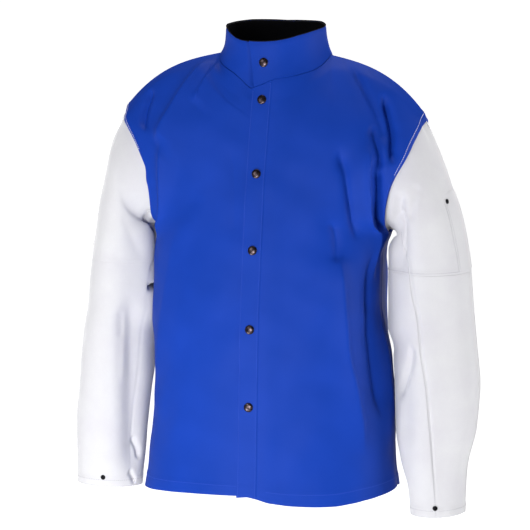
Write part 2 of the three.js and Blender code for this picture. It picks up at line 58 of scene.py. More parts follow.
# runs an operator that adds something, and names what it made
def addNamed(name, add, **settings):
    pick()
    add(**settings)
    thing = bpy.context.object
    thing.name = name
    return thing


def applyModifier(piece, kind, **settings):
    pick(piece)
    modifier = piece.modifiers.new(kind.lower(), kind)
    for key, value in settings.items():
        setattr(modifier, key, value)
    bpy.ops.object.modifier_apply(modifier=modifier.name)


# adds a node with its settings, its plain values and its links
def addNode(tree, kind, values=None, links=None, **settings):
    node = tree.nodes.new(kind)
    for key, value in settings.items():
        setattr(node, key, value)
    for key, value in (values or {}).items():
        node.inputs[key].default_value = value
    for key, source in (links or {}).items():
        tree.links.new(source, node.inputs[key])
    return node


# every piece rides on the one body, stands for its solid and takes the given material
def dress(piece, material, node=None):
    piece.data.materials.append(material)
    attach(piece, "root")
    if node:
        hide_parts(node)
    return piece


mm = 0.001

# sizes of the jacket in millimetres, the wearer faces -Y and the wearer's left is +X
neck = dict(halfWidth=97, halfDepth=84, level=0, frontDrop=48, backDrop=10, share=0.42)
shoulder = dict(tipX=271, tipY=-15, fall=36, droop=69)
underarm = dict(x=206, y=-8, z=-300)
armhole = dict(front=76, back=82, scoopLeft=12, scoopRight=32, scoopBack=6)
hemSag = dict(left=-13, right=-2, back=-6)
shoulderRow = {True: 0.4, False: 0.45, "crown": 20, "crownFrom": 0.12}

# side seam from the hem up: left x, right x, left z, right z, y
sideSeam = np.array([
    (225, 223, -734, -756, -32),  # hem
    (218, 214, -676, -684, -31),  # skirt
    (215, 206, -576, -580, -29),  # hip
    (208, 209, -449, -449, -26),  # waist
    (207, 207, -350, -350, -18),  # chest
], float)

# rows of the fronts and of the back from the hem up: middle z and y, turn to the edge, fullness, armhole angle
panelRows = {True: np.array([
    (-733, -187, 90, 0.95, 0),  # hem
    (-676, -183, 90, 0.93, 0),  # skirt
    (-577, -178, 90, 0.90, 0),  # hip
    (-449, -170, 90, 0.88, 0),  # waist
    (-348, -156, 90, 0.84, 0),  # chest
    (-298, -148, 88, 0.78, 180),  # underarm
    (-249, -139, 74, 0.90, 140),  # breast
    (-200, -128, 60, 1.00, 100),  # armhole
    (-150, -115, 50, 1.00, 62),  # upper chest
    (-102, -100, 42, 1.00, 30),  # collar bone
], float), False: np.array([
    (-746, 122, 90, 0.95, 0),
    (-680, 118, 90, 0.93, 0),
    (-578, 114, 90, 0.90, 0),
    (-449, 112, 90, 0.88, 0),
    (-350, 118, 90, 0.84, 0),
    (-298, 122, 88, 0.78, 180),
    (-244, 124, 76, 0.90, 140),
    (-190, 123, 64, 1.00, 100),
    (-134, 119, 54, 1.00, 62),
    (-80, 110, 44, 1.00, 30),
], float)}
underarmRow = 5

# sleeve rows below the armhole: out x, out z, in x, in z, middle y, depth; x away from the body
sleeveRows = dict(
    left=np.array([
        (287, -150, 217, -301, -12, 146),  # cap
        (308, -208, 217, -308, -12, 144),  # upper arm
        (329, -278, 215, -325, -11, 142),  # biceps
        (344, -360, 215, -362, -10, 139),  # elbow
        (353, -460, 215, -460, -13, 135),  # below elbow
        (364, -548, 221, -548, -20, 128),  # forearm
        (360, -628, 226, -628, -28, 117),  # lower forearm
        (349, -684, 238, -684, -35, 105),  # wrist
        (346, -730, 246, -732, -40, 96),  # above cuff
        (345, -771, 251, -777, -43, 90),  # cuff
    ], float),
    right=np.array([
        (288, -150, 217, -301, -12, 146),
        (300, -208, 217, -308, -12, 146),
        (314, -278, 215, -325, -11, 146),
        (326, -360, 215, -362, -10, 144),
        (338, -455, 215, -455, -13, 138),
        (348, -540, 217, -540, -18, 128),
        (353, -618, 224, -618, -24, 114),
        (354, -676, 228, -676, -30, 96),
        (353, -720, 231, -720, -34, 86),
        (352, -760, 234, -760, -36, 80),
    ], float),
)
elbowRow = 3
sleeveTuck = dict(under=4, past=2, over=1.5, high=4, depth=2.8)  # how the leather lies under the body's edge


def sideName(side):
    return "left" if side > 0 else "right"


def mix(a, b, f):
    return a + (b - a) * f


def ease(x, low, high):
    f = np.clip((x - low) / (high - low), 0, 1)
    return f * f * (3 - 2 * f)


def bell(x, middle, width):
    return np.exp(-((x - middle) / width)**2)


def unit(v):
    return v / np.maximum(np.linalg.norm(v, axis=-1, keepdims=True), 1e-12)


def stack(x, y, z):
    return np.stack(np.broadcast_arrays(x, y, z), axis=-1).astype(float)


def matched(a, b):
    return np.broadcast_arrays(np.asarray(a, float), np.asarray(b, float))


def stepLengths(points, axis=0):
    return np.linalg.norm(np.diff(points, axis=axis), axis=-1)


def runningSum(steps):
    return np.r_[0.0, np.cumsum(steps)]


# direction square to a surface, from small steps along its two coordinates
def squareTo(base, a, b, stepA, stepB, lastA, firstB, lastB):
    along = base(np.minimum(a + stepA, lastA), b) - base(a - stepA, b)
    up = base(a, np.minimum(b + stepB, lastB)) - base(a, np.maximum(b - stepB, firstB))
    return unit(np.cross(along, up))


# smooth curve through rows of points that stand at knots, with a sharper corner at one row
def curveThrough(knots, rows, t, cornerAt=-1, sharp=0.0):
    last = len(knots) - 1
    i = np.clip(np.searchsorted(knots, t) - 1, 0, last - 1)
    n = np.arange(len(t))

    def chord(before, after):
        return (rows[after, n] - rows[before, n]) / (knots[after] - knots[before])[:, None]

    def slope(j):
        smooth = chord(np.maximum(j - 1, 0), np.minimum(j + 1, last))
        return mix(smooth, chord(i, i + 1), np.where(j == cornerAt, sharp, 0.0)[:, None])

    span = (knots[i + 1] - knots[i])[:, None]
    f = (t - knots[i])[:, None] / span
    return (rows[i, n] * (2 * f**3 - 3 * f**2 + 1) + rows[i + 1, n] * (3 * f**2 - 2 * f**3)
            + slope(i) * span * (f**3 - 2 * f**2 + f) + slope(i + 1) * span * (f**3 - f**2))


def shoulderHeight(u):
    return neck["level"] - shoulder["fall"] * u - shoulder["droop"] * u**3


# armhole loop: 0 degrees at the shoulder tip, 180 at the underarm
def armholePoint(side, isFront, degrees):
    a = math.radians(degrees)
    f = (1 - math.cos(a)) / 2
    scoop = armhole["scoopBack"] if not isFront else armhole["scoopLeft" if side > 0 else "scoopRight"]
    x = mix(shoulder["tipX"], underarm["x"], f) - scoop * math.sin(a)**2
    reach = -armhole["front"] if isFront else armhole["back"]
    y = mix(shoulder["tipY"], underarm["y"], f) + reach * math.sin(a)
    return np.array((side * x, y, mix(shoulderHeight(1), underarm["z"], f)))


# neckline: 0 degrees at the centre front, 180 at the centre back
def necklinePoint(degrees):
    a = np.radians(degrees)
    c = np.cos(a)
    drop = np.where(c > 0, neck["frontDrop"] * np.abs(c)**1.2, neck["backDrop"] * c * c)
    return stack(neck["halfWidth"] * np.sin(a), -neck["halfDepth"] * c, neck["level"] - drop)


# top edge of a panel: neckline, then shoulder seam
def topPoint(side, isFront, s):
    turn = 90 * np.minimum(s, neck["share"]) / neck["share"]
    inner = necklinePoint(turn if isFront else 180 - turn)
    u = (s - neck["share"]) / (1 - neck["share"])
    outer = stack(mix(neck["halfWidth"], shoulder["tipX"], u), shoulder["tipY"] * u, shoulderHeight(u))
    p = np.where((s < neck["share"])[:, None], inner, outer)
    p[:, 0] *= side
    return p


def panelRowPoint(isFront, side, j, s):
    rows = panelRows[isFront]
    last = len(rows) - 1
    if j > last:
        top = topPoint(side, isFront, s)
        if j == last + 1:
            top = mix(top, panelRowPoint(isFront, side, last, s), shoulderRow[isFront])
            along = np.maximum(0, (np.abs(s) - shoulderRow["crownFrom"]) / (1 - shoulderRow["crownFrom"]))
            top[:, 2] += shoulderRow["crown"] * np.sin(np.pi * along)
        return top
    midZ, midY, turn, full, hole = rows[j]
    if j < underarmRow:
        leftX, rightX, leftZ, rightZ, y = sideSeam[j]
        edge = (leftX, y, leftZ) if side > 0 else (-rightX, y, rightZ)
    else:
        edge = armholePoint(side, isFront, hole)
    turn = math.radians(turn)
    forward = np.maximum(0, (np.cos(s * turn) - math.cos(turn)) / (1 - math.cos(turn)))**full
    z = mix(midZ, edge[2], s * s)
    if j == 0:
        z = z + hemSag[sideName(side) if isFront else "back"] * np.sin(np.pi * np.abs(s))
    return stack(edge[0] * np.sin(s * turn) / math.sin(turn), mix(edge[1], midY, forward), z)


def panelKnots(isFront):
    steps = []
    for j in range(1, len(panelRows[True]) + 2):
        s = np.array([0.6 if j > underarmRow else 1.0])
        steps.append(np.linalg.norm(panelRowPoint(isFront, 1, j, s) - panelRowPoint(isFront, 1, j - 1, s)))
    return runningSum(steps)


knotsOf = {True: panelKnots(True), False: panelKnots(False)}


# body surface: s from the middle line to the side, t up from the hem
def bodyBase(isFront, side, s, t):
    s, t = matched(s, t)
    shape = s.shape
    s, t = s.ravel(), t.ravel()
    rows = np.stack([panelRowPoint(isFront, side, j, s) for j in range(len(panelRows[True]) + 2)])
    sharp = ease(s, 0.8, 1.0)
    return curveThrough(knotsOf[isFront], rows, t, underarmRow, sharp).reshape(shape + (3,))


def bodyNormal(isFront, side, s, t):
    n = squareTo(lambda a, b: bodyBase(isFront, side, a, b), s, t, 0.004, 2, 1, 0, knotsOf[isFront][-1])
    return n * (side if isFront else -side)


# level on a panel's edge that stands at an angle of the armhole
def edgeLevel(isFront, angle):
    rows = panelRows[isFront]
    angles = list(rows[underarmRow:, 4]) + [rows[-1, 4] * shoulderRow[isFront], 0]
    return np.interp(-np.asarray(angle, float), -np.array(angles), knotsOf[isFront][underarmRow:])


# armhole seam: place on the body's edge, its normal, and the way across the seam off the body
def armholeSeam(side, degrees):
    degrees = np.mod(np.asarray(degrees, float), 360)
    place, normal, across = (np.zeros((len(degrees), 3)) for k in range(3))
    for isFront in (True, False):
        pick = (degrees <= 180) if isFront else (degrees > 180)
        if not pick.any():
            continue
        t = edgeLevel(isFront, degrees[pick] if isFront else 360 - degrees[pick])
        s = np.ones(len(t))
        knots = knotsOf[isFront]
        place[pick] = bodyBase(isFront, side, s, t)
        normal[pick] = bodyNormal(isFront, side, s, t)
        upper = bodyBase(isFront, side, s, np.minimum(t + 2, knots[-1]))
        tangent = upper - bodyBase(isFront, side, s, np.maximum(t - 2, knots[underarmRow]))
        across[pick] = unit(np.cross(tangent, normal[pick])) * (side if isFront else -side)
    return place, normal, across


def sleeveRowPoints(side, degrees):
    degrees = np.mod(np.asarray(degrees, float), 360)
    place, normal, across = armholeSeam(side, degrees)
    away = ease(np.abs(degrees - 180), 15, 70)[:, None]
    k = sleeveTuck
    tuck = place + across * mix(k["over"], -k["under"], away) - normal * k["depth"]
    emerge = place + across * mix(k["high"], k["past"], away) - normal * k["depth"]
    rows = [tuck, emerge]
    a = np.radians(degrees)
    share = (1 - np.cos(a)) / 2
    for outX, outZ, inX, inZ, y, depth in sleeveRows[sideName(side)]:
        rows.append(stack(side * mix(outX, inX, share), y - depth / 2 * np.sin(a), mix(outZ, inZ, share)))
    return np.stack(rows)


def sleeveKnots(side):
    rows = sleeveRowPoints(side, np.array([0.0, 90.0, 180.0, 270.0]))
    return runningSum(stepLengths(rows).mean(axis=1))


armKnots = {1: sleeveKnots(1), -1: sleeveKnots(-1)}


# sleeve surface: degrees round the arm (0 outside, 90 front, 180 inside), t down from the armhole
def sleeveBase(side, degrees, t):
    degrees, t = matched(degrees, t)
    points = curveThrough(armKnots[side], sleeveRowPoints(side, degrees.ravel()), t.ravel())
    return points.reshape(t.shape + (3,))


# materials

def newMaterial(name, colour, roughness, gloss, **more):
    material = bpy.data.materials.new(name)
    material.use_nodes = True
    shader = material.node_tree.nodes["Principled BSDF"]
    values = {"Base Color": hexColour(colour), "Roughness": roughness, "Specular IOR Level": gloss, **more}
    for key, value in values.items():
        shader.inputs[key].default_value = value
    return material, material.node_tree, shader


# places on a piece in millimetres, from its UV or its Object coordinates
def placesMm(tree, coordinates):
    place = addNode(tree, "ShaderNodeTexCoord")
    scaled = addNode(tree, "ShaderNodeMapping", {"Scale": (1000, 1000, 1000)}, {"Vector": place.outputs[coordinates]})
    return scaled.outputs["Vector"]


# noise with clumps of about the given size
def addNoise(tree, places, size, detail, roughness):
    noise = addNode(tree, "ShaderNodeTexNoise", {"Scale": 1 / size, "Detail": detail, "Roughness": roughness},
                    {"Vector": places})
    return noise.outputs["Fac"]


# slanted bands at the given distance; such a wave is 0.628 long at scale 1
def addBands(tree, places, size, values):
    bands = addNode(tree, "ShaderNodeTexWave", {"Scale": 0.628 / size, **values}, {"Vector": places},
                    bands_direction="DIAGONAL")
    return bands.outputs["Fac"]


def addRamp(tree, factor, low, lowColour, high, highColour):
    ramp = addNode(tree, "ShaderNodeValToRGB", None, {"Fac": factor})
    for stop, place, colour in zip(ramp.color_ramp.elements, (low, high), (lowColour, highColour)):
        stop.position = place
        stop.color = hexColour(colour)
    return ramp.outputs["Color"]


# lays a fine pattern over a colour
def addOverlay(tree, share, colour, pattern):
    return addNode(tree, "ShaderNodeMix", {0: share}, {6: colour, 7: pattern}, data_type="RGBA",
                   blend_type="OVERLAY").outputs[2]


def addRelief(tree, shader, height, strength, depth):
    bump = addNode(tree, "ShaderNodeBump", {"Strength": strength, "Distance": depth * mm}, {"Height": height})
    tree.links.new(bump.outputs["Normal"], shader.inputs["Normal"])


# cotton sateen, piece-dyed royal blue, with a slight gloss; the 0.4 mm twill is drawn at 1.5 mm so that it shows
cottonLook = dict(mid="#0b3699", deep="#093495", pale="#0e389e", rough=0.6, gloss=0.1, twill=1.5, thread=0.8, cloud=95,
                  fleck=0.14, relief=0.2, depth=0.3)


def makeCotton():
    k = cottonLook
    material, tree, shader = newMaterial("cottonSateen", k["mid"], k["rough"], k["gloss"])
    clothMm = placesMm(tree, "UV")
    twill = addBands(tree, clothMm, k["twill"], {"Distortion": 0.6, "Detail": 1.0, "Detail Scale": 2.0})
    yarn = addNoise(tree, clothMm, k["thread"], 2.0, 0.6)
    cloud = addNoise(tree, placesMm(tree, "Object"), k["cloud"], 3.0, 0.55)
    dye = addRamp(tree, cloud, 0.3, k["deep"], 0.72, k["pale"])
    tree.links.new(addOverlay(tree, k["fleck"], dye, yarn), shader.inputs["Base Color"])
    height = addNode(tree, "ShaderNodeMath", {2: 0.5}, {0: yarn, 1: twill}, operation="MULTIPLY_ADD")
    addRelief(tree, shader, height.outputs["Value"], k["relief"], k["depth"])
    return material


# split cowhide, left white: a short nap that blooms at grazing angles, with fibre clumps and pores
leatherLook = dict(pale="#c8c8cb", grey="#c3c2c7", rough=0.9, gloss=0.15, bloom=0.8, bloomRough=0.5, clump=1.3,
                   pore=4.0, cloud=70, nap=0.07, relief=0.22, depth=0.4)


def makeLeather():
    k = leatherLook
    material, tree, shader = newMaterial("splitLeather", k["pale"], k["rough"], k["gloss"], **{
        "Sheen Weight": k["bloom"], "Sheen Roughness": k["bloomRough"]})
    hideMm = placesMm(tree, "Object")
    clump = addNoise(tree, hideMm, k["clump"], 3.0, 0.65)
    pore = addNode(tree, "ShaderNodeTexVoronoi", {"Scale": 1 / k["pore"]}, {"Vector": hideMm})
    tone = addRamp(tree, addNoise(tree, hideMm, k["cloud"], 4.0, 0.6), 0.35, k["grey"], 0.65, k["pale"])
    tree.links.new(addOverlay(tree, k["nap"], tone, clump), shader.inputs["Base Color"])
    height = addNode(tree, "ShaderNodeMath", {1: 0.35}, {0: pore.outputs["Distance"], 2: clump},
                     operation="MULTIPLY_ADD")
    addRelief(tree, shader, height.outputs["Value"], k["relief"], k["depth"])
    return material


# black cotton lining: a dull plain weave
liningLook = dict(black="#08080b", grey="#121217", rough=0.9, gloss=0.1, thread=1.0, relief=0.2, depth=0.2)


def makeLining():
    k = liningLook
    material, tree, shader = newMaterial("blackCotton", k["black"], k["rough"], k["gloss"])
    weave = addNode(tree, "ShaderNodeTexChecker", {"Scale": 1 / k["thread"]}, {"Vector": placesMm(tree, "UV")})
    tone = addRamp(tree, weave.outputs["Fac"], 0.0, k["black"], 1.0, k["grey"])
    tree.links.new(tone, shader.inputs["Base Color"])
    addRelief(tree, shader, weave.outputs["Fac"], k["relief"], k["depth"])
    return material


# pressed brass with an oxidised finish, rubbed lighter in spots
def makeMetal(name, dark, rubbed, roughness, grain):
    material, tree, shader = newMaterial(name, dark, roughness, 0.5, Metallic=1.0)
    wear = addNoise(tree, placesMm(tree, "Object"), grain, 4.0, 0.6)
    tree.links.new(addRamp(tree, wear, 0.42, dark, 0.75, rubbed), shader.inputs["Base Color"])
    haze = addNode(tree, "ShaderNodeMapRange", {"To Min": roughness - 0.06, "To Max": roughness + 0.12},
                   {"Value": wear})
    tree.links.new(haze.outputs["Result"], shader.inputs["Roughness"])
    return material


# spun thread: its plies are fine slanted bands
threadLook = dict(ply=0.5, rough=0.7, gloss=0.3)


def makeThread(name, pale, deep):
    k = threadLook
    material, tree, shader = newMaterial(name, pale, k["rough"], k["gloss"])
    ply = addBands(tree, placesMm(tree, "Object"), k["ply"], {"Distortion": 1.0})
    tree.links.new(addRamp(tree, ply, 0.1, deep, 0.7, pale), shader.inputs["Base Color"])
    return material


cotton = makeCotton()
leather = makeLeather()
lining = makeLining()
gunmetal = makeMetal("oxidisedBrass", "#30282b", "#554a4d", 0.26, 5)
blackMetal = makeMetal("blackenedBrass", "#101012", "#1c1c1f", 0.42, 2.0)
whiteThread = makeThread("whiteThread", "#f2f0fa", "#cfcce6")
blueThread = makeThread("blueThread", "#3556c4", "#2343a8")
greyThread = makeThread("greyThread", "#b4b2ba", "#8f8d96")
print("materials made")


# a grid of cloth whose points are set one by one, with its size in metres as UV
def clothGrid(name, points, outward, wall, ring=False):
    rows, cols = points.shape[:2]
    piece = addNamed(name, bpy.ops.mesh.primitive_grid_add, x_subdivisions=cols - 1, y_subdivisions=rows - 1, size=2)
    mesh = piece.data
    flat = np.empty(len(mesh.vertices) * 3)
    mesh.vertices.foreach_get("co", flat)
    flat = flat.reshape(-1, 3)
    col = np.rint((flat[:, 0] + 1) / 2 * (cols - 1)).astype(int)
    row = np.rint((flat[:, 1] + 1) / 2 * (rows - 1)).astype(int)
    mesh.vertices.foreach_set("co", (points[row, col] * mm).ravel())
    # lengths along the cloth, averaged over its rows and columns
    across = runningSum(stepLengths(points, 1).mean(axis=0)) * mm
    along = runningSum(stepLengths(points).mean(axis=1)) * mm
    corner = np.empty(len(mesh.loops), int)
    mesh.loops.foreach_get("vertex_index", corner)
    mesh.uv_layers.active.data.foreach_set("uv", np.stack([across[col], along[row]], 1)[corner].ravel())
    mesh.update()
    r, c = rows // 2, cols // 2
    facing = np.cross(points[r, c + 1] - points[r, c], points[r + 1, c] - points[r, c]) @ outward[r, c]
    bpy.ops.object.mode_set(mode="EDIT")
    bpy.ops.mesh.select_all(action="SELECT")
    if ring:
        bpy.ops.mesh.remove_doubles(threshold=0.02 * mm)
    if facing < 0:
        bpy.ops.mesh.flip_normals()
    bpy.ops.object.mode_set(mode="OBJECT")
    applyModifier(piece, "SOLIDIFY", thickness=wall * mm, offset=-1)
    bpy.ops.object.shade_smooth_by_angle(angle=math.radians(50))
    return piece


# rounds the corners of a line of places
def softLine(places):
    p = np.array(places, float)
    for k in range(3):
        cut = np.stack([0.75 * p[:-1] + 0.25 * p[1:], 0.25 * p[:-1] + 0.75 * p[1:]], 1).reshape(-1, 2)
        p = np.r_[p[:1], cut, p[-1:]]
    return p


# height of the folds on a cloth: each fold has a rise, a width on its two sides and a line of places;
# gain raises all of them, and scale brings their places across the cloth to millimetres
def foldRise(folds, gain, scale, across, z, crest):
    total = np.zeros(np.shape(across))
    for rise, widthA, widthB, places in folds:
        dip = 0.5 if rise > 0 else 0.0  # beyond a crest the cloth falls into a shallow valley
        line = softLine([(a * scale, b) for a, b in places])
        step = np.diff(line, axis=0)
        long = stepLengths(line)
        start = runningSum(long)
        best = np.full(total.shape, 1e9)
        turn = np.zeros(total.shape)
        at = np.zeros(total.shape)
        for k in range(len(step)):
            dx, dz = across - line[k, 0], z - line[k, 1]
            f = np.clip((dx * step[k, 0] + dz * step[k, 1]) / long[k]**2, 0, 1)
            off = np.hypot(dx - f * step[k, 0], dz - f * step[k, 1])
            near = off < best
            best = np.where(near, off, best)
            turn = np.where(near, step[k, 0] * dz - step[k, 1] * dx, turn)
            at = np.where(near, start[k] + f * long[k], at)
        at = at / start[-1]
        ends = ease(at, 0, 0.2) * (1 - ease(at, 0.8, 1))
        if crest > 0:
            # a soft crest with straight sides
            away = np.hypot(best, crest) - crest
            falls = (1 + dip) * np.exp(-away / widthB) - dip * np.exp(-away / (3 * widthB))
            total += rise * gain * ends * np.where(turn > 0, falls, np.exp(-away / widthA))
        else:
            total += rise * gain * ends * bell(best, 0, np.where(turn > 0, widthB, widthA))
    return total


# slow waves that keep a cloth from lying dead flat
def crumple(across, z, seed, size):
    rng = np.random.default_rng(seed)
    total = np.zeros(np.shape(across))
    waves = 14
    for k in range(waves):
        angle, phase = rng.uniform(0, math.pi), rng.uniform(0, 2 * math.pi)
        length = size * rng.uniform(0.6, 1.8)
        total += np.sin(2 * math.pi * (across * math.cos(angle) + z * math.sin(angle)) / length + phase)
    return total / waves**0.5


# the two fronts and the back

# percent is a hundredth of the way from the middle line to the side, in millimetres
bodyCloth = dict(
    wall=1.6, seamGap=0.4, lapGap=0.5, hemBand=20, hemRise=0.5, hemBlend=90, neckBlend=45, edgeBand=0.04,
    edgeRise=0.5, edgeRoll=8, edgeStep=0.008, armBlend=12, seamDip=1.2, seamWide=3.5, percent=2.75,
    foldGain={1: 3.1, -1: 2.5}, foldsTo=0.92, foldsBelow=28, crest=2.5, crumple=0.7, crumpleSize=80,
    seeds={True: 5, False: 9}, levels=200, frontShares=96, backShares=84)
placket = dict(reach=19, width=34, rise=0.8, blend=40, under=2)

# folds of the fronts: rise, width on the middle's side and on the far side, then the line's places from the top
# down as percent of the way to the side, and height
frontFolds = {
    -1: [
        (5.5, 36, 13, [(41, -4), (48.7, -27), (53.7, -61), (61.7, -113), (78, -152)]),
        (2.6, 20, 7, [(31.3, -8), (39.3, -49), (45.7, -85)]),
        (-3.6, 7, 5, [(80.3, -58), (81, -101), (83, -132)]),
        (4.0, 24, 14, [(68, -140), (79.5, -190), (81.5, -229), (77.5, -275), (71.5, -325)]),
        (1.0, 26, 26, [(48, -270), (53, -323), (61.5, -438), (70.4, -533), (78, -620)]),
        (-1.0, 22, 22, [(20, -140), (10.5, -310)]),
        (-2.0, 16, 16, [(88, -455), (90, -560), (92, -670)]),
    ],
    1: [
        (-3.0, 8, 8, [(52, -6), (56.3, -22), (61, -45), (66.3, -75), (72, -107), (82, -145)]),
        (-5.4, 4.5, 7, [(73.3, -54), (76.3, -89), (82.3, -126), (94, -176)]),
        (-4.0, 5, 6, [(66, -105), (70, -125), (78.3, -153), (85, -185)]),
        (3.6, 16, 7, [(71, -132), (75.3, -180), (81, -226), (80.3, -286), (79.7, -324), (87, -380)]),
        (-4.6, 6, 9, [(78, -166), (90, -225), (88, -302), (90, -350)]),
        (-2.6, 6, 9, [(49, -142), (52.3, -164), (59, -190), (62.7, -231), (64, -264), (59.3, -306)]),
        (-2.0, 7, 9, [(47.6, -266), (46.1, -340)]),
        (5.0, 26, 15, [(47, -300), (50, -377), (52.7, -443), (53.7, -497), (58.3, -554), (62, -618), (66.5, -670)]),
        (-5.0, 20, 22, [(75, -310), (77, -426), (76, -477), (79, -546), (83, -620)]),
    ],
}
backFolds = [
    (6.0, 26, 22, [(40, -220), (47, -420), (48, -620), (50, -745)]),
    (-4.0, 26, 26, [(24, -290), (25, -500), (26, -745)]),
    (3.0, 16, 16, [(66, -300), (70, -480), (66, -700)]),
    (-3.0, 11, 11, [(74, -150), (84, -230), (90, -300)]),
    (2.5, 14, 14, [(50, -40), (64, -110), (80, -190)]),
]
# how the neckline of the fronts hangs: x and how far it stands above the drafted line
neckHang = np.array([(-97, 0), (-88, 3), (-80, 6), (-66, 9), (-56, 9), (-42, 4.5), (-30, -3), (-21, -7), (-10, -2),
                     (7, 5), (19, 10), (32, 10.5), (44, 9.5), (65, 6.5), (80, 2), (91, 0), (97, 0)], float)
# how the hem of each front hangs: share of the way to the side and how far it stands above the drafted line
hemHang = {
    1: np.array([(0, 0), (0.04, -1), (0.1, -4.8), (0.2, -5.5), (0.36, -3.5), (0.45, -2.5), (0.52, 0), (0.62, 2.4),
                 (0.75, 2.6), (0.88, 1.2), (1, 0)]),
    -1: np.array([(0, 1.2), (0.2, 0.6), (0.35, -0.6), (0.5, -2.2), (0.65, -3.6), (0.8, -3.2), (0.92, -1.8), (1, 0)]),
}
# where the right front laps out over the sleeve: depths at which it begins and ends, how far out and forward
breastLap = dict(begins=(188, 218), ends=(270, 310), fromShare=0.78, out=5, lift=3)
# the left side is drawn in below the arm and let out at the hip, and the armhole's edge stands out
sidePull = dict(
    drawn=15, drawnShare=0.62, drawnFrom=(210, 320), drawnTo=395, pastArm=4, hip=4, hipShare=0.7, hipZ=-610,
    hipWide=80, edge=6, edgeShare=0.88, edgeZ=-160, edgeWide=30)


# near the middle line s grows evenly with x
def shareOfX(t, x):
    return 0.01 * x / bodyBase(True, 1, np.full(np.shape(t), 0.01), t)[..., 0]


def hangAt(table, x):
    return np.interp(x, table[:, 0], table[:, 1])


# outer face of a front or of half the back, and its outward direction
def bodySurface(isFront, side, s, t):
    k = bodyCloth
    p = bodyBase(isFront, side, s, t)
    n = bodyNormal(isFront, side, s, t)
    x, z = p[..., 0], p[..., 2]  # views, so what is added to them moves p
    top, arm = knotsOf[isFront][-1], knotsOf[isFront][underarmRow]
    # folds fade out at the seams
    inField = (1 - ease(s, k["foldsTo"], 1)) * (1 - ease(t, top - k["foldsBelow"], top))
    across = s * 100 * k["percent"]
    folds = frontFolds[side] if isFront else backFolds
    gain = k["foldGain"][side if isFront else -1]
    lift = inField * (foldRise(folds, gain, k["percent"], across, z, k["crest"])
                      + k["crumple"] * crumple(across * side, z, k["seeds"][isFront], k["crumpleSize"]))
    # turned hem, and the band that is stitched down along the armhole
    lift += k["hemRise"] * (1 - ease(t, k["hemBand"] - 1, k["hemBand"] + 2))
    atArmhole = ease(t, arm, arm + k["armBlend"])
    bandEdge, edgeStep = 1 - k["edgeBand"], k["edgeStep"]
    lift += k["edgeRise"] * atArmhole * ease(s, bandEdge - edgeStep, bandEdge + edgeStep / 2)
    # beyond the stitches the armhole's edge rolls down to the sleeve
    lift -= k["edgeRoll"] * atArmhole * ease(s, bandEdge + edgeStep, 1 + edgeStep)
    if side > 0:
        q = sidePull
        x += q["hip"] * ease(s, q["hipShare"], 1) * bell(z, q["hipZ"], q["hipWide"])
        if isFront:
            x += q["edge"] * ease(s, q["edgeShare"], 1) * bell(z, q["edgeZ"], q["edgeWide"])
        below = ease(t, *q["drawnFrom"]) * (1 - ease(t, q["drawnTo"], arm + q["pastArm"]))
        x -= q["drawn"] * ease(s, q["drawnShare"], 1) * below
    # the seam at the side draws the cloth in
    lift -= k["seamDip"] * (1 - atArmhole) * bell((1 - s) * 100 * k["percent"], 0, k["seamWide"])
    if isFront and side > 0:
        besideMiddle = s / shareOfX(t, 1.0)
        lap = 1 - ease(besideMiddle, placket["reach"] + 3, placket["reach"] + placket["blend"])
        doubledTo = placket["width"] - placket["reach"]
        doubled = 1 - ease(besideMiddle, doubledTo - 0.4, doubledTo + 1)
        lift += lap * (k["wall"] + k["lapGap"]) + doubled * placket["rise"]
    if isFront:
        atNeck = ease(t, top - k["neckBlend"], top) * (np.abs(x) < neck["halfWidth"])
        z += hangAt(neckHang, x) * atNeck
        z += hangAt(hemHang[side], s) * (1 - ease(t, 0, k["hemBlend"]))
    if isFront and side < 0:
        q = breastLap
        span = ease(-z, *q["begins"]) * (1 - ease(-z, *q["ends"]))
        edge = ease(s, q["fromShare"], 1.0) * span
        x -= q["out"] * edge
        lift += q["lift"] * edge
    p = p + n * lift[..., None]
    p[..., 1] += k["seamGap"] / 2 * (-1 if isFront else 1)
    return p, n


# levels up a panel, closer together at the hem
def panelLevels(isFront):
    return np.r_[0, 1.2, 8, 15, 18.5, 20, 22.5, np.linspace(26, knotsOf[isFront][-1], bodyCloth["levels"])]


def makeFront(side):
    levels = panelLevels(True)
    # columns beside the middle line, closer together at the edges of the placket
    if side > 0:
        inner = np.array([-19, -18.2, -16, -12, -8, -4, 0, 4, 8, 12, 14, 14.9, 15.6, 16.6, 19])
    else:
        inner = np.array([placket["under"] - placket["reach"], -13, -8, -4, 0, 4, 8, 12, 16, 19], float)
    near = inner[None, :] * shareOfX(levels, 1.0)[:, None]
    far = mix(near[:, -1:], 1.0, np.linspace(0, 1, bodyCloth["frontShares"])[None, 1:])
    s = np.concatenate([near, far], axis=1)
    t = np.broadcast_to(levels[:, None], s.shape)
    points, outward = bodySurface(True, side, s, t)
    return clothGrid("cloth_front_" + sideName(side), points, outward, bodyCloth["wall"])


def makeBack():
    s, t = np.meshgrid(np.linspace(0, 1, bodyCloth["backShares"]), panelLevels(False))
    halves = [bodySurface(False, side, s, t) for side in (-1, 1)]
    points, outward = (np.concatenate([right[:, :0:-1], left], axis=1) for right, left in zip(*halves))
    return clothGrid("cloth_back", points, outward, bodyCloth["wall"])


frontLeft = dress(makeFront(1), cotton, "front_left")
frontRight = dress(makeFront(-1), cotton, "front_right")
back = dress(makeBack(), cotton, "back")
print("body cloth made")


# stand collar and its lining

